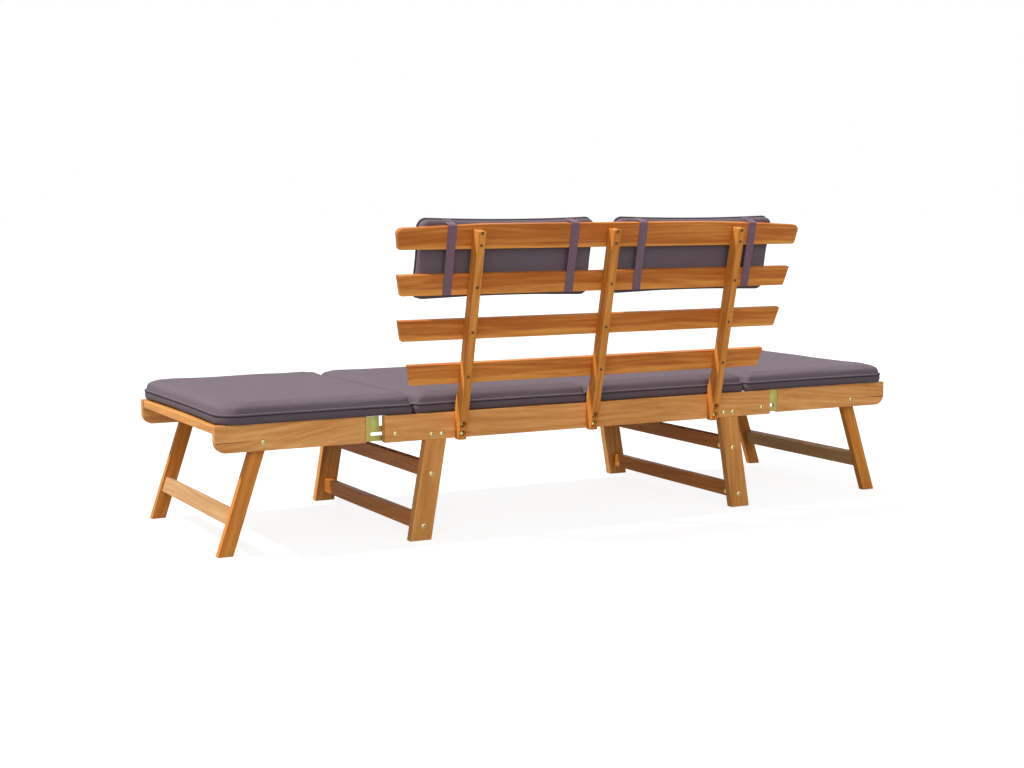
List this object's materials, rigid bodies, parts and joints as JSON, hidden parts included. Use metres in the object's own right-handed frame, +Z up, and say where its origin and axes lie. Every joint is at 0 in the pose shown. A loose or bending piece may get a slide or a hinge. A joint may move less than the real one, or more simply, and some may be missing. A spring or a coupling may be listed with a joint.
{
  "type": "convertible garden bench",
  "caption": "Hardwood garden bench with slatted backrest, cushions and a hinged wing at each end that lies level on folding legs as a daybed or swings up as an armrest.",
  "frame": {"origin": "on the floor, under the middle of the bench's bounding box as it lies open in the picture", "axes": "+X to the sitter's left along the bench, +Y to the back, +Z up; the front faces -Y"},
  "size_m": [1.9, 0.7544, 0.7563],
  "materials": {
    "oiled_acacia": "oiled, satin",
    "plated_steel": "yellow zinc plating, satin",
    "bright_steel": "pale yellow zinc plating",
    "cushion_cloth": "woven, matt",
    "strap_cloth": "woven, matt"
  },
  "bodies": {
    "bench_frame": {"back_cushion_left": "cushion_cloth", "back_cushion_right": "cushion_cloth", "backrest_board_lowest": "oiled_acacia", "backrest_board_second": "oiled_acacia", "backrest_board_third": "oiled_acacia", "backrest_board_top": "oiled_acacia", "backrest_post_left": "oiled_acacia", "backrest_post_middle": "oiled_acacia", "backrest_post_right": "oiled_acacia", "backrest_screws": "bright_steel", "cushion_strap_left_inner": "strap_cloth", "cushion_strap_left_outer": "strap_cloth", "cushion_strap_right_inner": "strap_cloth", "cushion_strap_right_outer": "strap_cloth", "leg_bolts": "bright_steel", "leg_nuts": "bright_steel", "post_bolts": "bright_steel", "post_nuts": "bright_steel", "seat_boards": "oiled_acacia", "seat_cushion_left": "cushion_cloth", "seat_cushion_right": "cushion_cloth", "seat_leg_left_front": "oiled_acacia", "seat_leg_left_rear": "oiled_acacia", "seat_leg_right_front": "oiled_acacia", "seat_leg_right_rear": "oiled_acacia", "seat_rail_front": "oiled_acacia", "seat_rail_rear": "oiled_acacia", "seat_stretcher_left_lower": "oiled_acacia", "seat_stretcher_left_upper": "oiled_acacia", "seat_stretcher_right_lower": "oiled_acacia", "seat_stretcher_right_upper": "oiled_acacia", "stretcher_barrel_nuts": "bright_steel", "stretcher_bolts": "bright_steel"},
    "left_wing_pivot": {"left_wing_pivot_bolts": "bright_steel"},
    "left_wing": {"left_wing_rail_rear": "oiled_acacia", "left_wing_rail_front": "oiled_acacia", "left_wing_boards": "oiled_acacia", "left_hinge_plate_rear": "plated_steel", "left_hinge_plate_front": "plated_steel", "left_plate_screws": "bright_steel", "left_leg_pivot_bolts": "bright_steel"},
    "left_leg_frame": {"left_wing_leg_rear": "oiled_acacia", "left_wing_leg_front": "oiled_acacia", "left_wing_stretcher": "oiled_acacia", "left_wing_stretcher_dowels": "oiled_acacia"},
    "left_cushion": {"left_wing_cushion": "cushion_cloth"},
    "right_wing_pivot": {"right_wing_pivot_bolts": "bright_steel"},
    "right_wing": {"right_wing_rail_rear": "oiled_acacia", "right_wing_rail_front": "oiled_acacia", "right_wing_boards": "oiled_acacia", "right_hinge_plate_rear": "plated_steel", "right_hinge_plate_front": "plated_steel", "right_plate_screws": "bright_steel", "right_leg_pivot_bolts": "bright_steel"},
    "right_leg_frame": {"right_wing_leg_rear": "oiled_acacia", "right_wing_leg_front": "oiled_acacia", "right_wing_stretcher": "oiled_acacia", "right_wing_stretcher_dowels": "oiled_acacia"},
    "right_cushion": {"right_wing_cushion": "cushion_cloth"}
  },
  "joints": [
    {"name": "left_wing_tilt", "type": "hinge", "parent": "bench_frame", "child": "left_wing_pivot", "pos_m": [0.5227, -0.06169, 0.2579], "axis": [0, -1, 0], "range_deg": [0, 90]},
    {"name": "left_wing_slide", "type": "slide", "parent": "left_wing_pivot", "child": "left_wing", "axis": [-1, 0, 0], "range_m": [0, 0.051]},
    {"name": "left_leg_fold", "type": "hinge", "parent": "left_wing", "child": "left_leg_frame", "pos_m": [0.8367, -0.06169, 0.2578], "axis": [0, 1, 0], "range_deg": [0, 108.5]},
    {"name": "left_cushion_tilt", "type": "hinge", "parent": "bench_frame", "child": "left_cushion", "pos_m": [0.45015, -0.06169, 0.32815], "axis": [0, -1, 0], "range_deg": [0, 90]},
    {"name": "right_wing_tilt", "type": "hinge", "parent": "bench_frame", "child": "right_wing_pivot", "pos_m": [-0.5227, -0.06169, 0.2579], "axis": [0, 1, 0], "range_deg": [0, 90]},
    {"name": "right_wing_slide", "type": "slide", "parent": "right_wing_pivot", "child": "right_wing", "axis": [1, 0, 0], "range_m": [0, 0.051]},
    {"name": "right_leg_fold", "type": "hinge", "parent": "right_wing", "child": "right_leg_frame", "pos_m": [-0.8367, -0.06169, 0.2578], "axis": [0, -1, 0], "range_deg": [0, 108.5]},
    {"name": "right_cushion_tilt", "type": "hinge", "parent": "bench_frame", "child": "right_cushion", "pos_m": [-0.45015, -0.06169, 0.32815], "axis": [0, 1, 0], "range_deg": [0, 90]}
  ],
  "couplings": [
    {"joint": "left_cushion_tilt", "follows": "left_wing_tilt", "ratio": 1},
    {"joint": "right_cushion_tilt", "follows": "right_wing_tilt", "ratio": 1}
  ]
}
